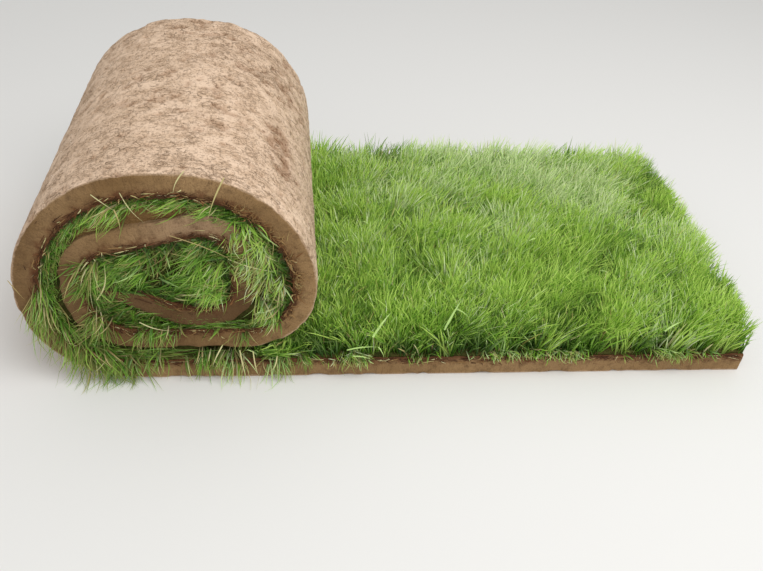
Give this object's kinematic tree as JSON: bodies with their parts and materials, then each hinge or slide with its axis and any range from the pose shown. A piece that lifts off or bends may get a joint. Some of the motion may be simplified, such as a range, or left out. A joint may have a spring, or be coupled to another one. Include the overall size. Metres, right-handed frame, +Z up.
{
  "type": "roll of turf",
  "caption": "Cut strip of lawn turf, rolled up grass side in, with its tail laid out flat and grass up.",
  "frame": {"origin": "on the floor, under the middle of the whole strip as it lies", "axes": "+X along the laid-out tail, away from the roll, +Y along the roll's axis, +Z up"},
  "size_m": [0.836, 0.418, 0.258],
  "materials": {
    "soil": "matte",
    "grass": "matte"
  },
  "bodies": {
    "root": {"soil_mat": "soil", "grass": "grass"}
  },
  "joints": []
}
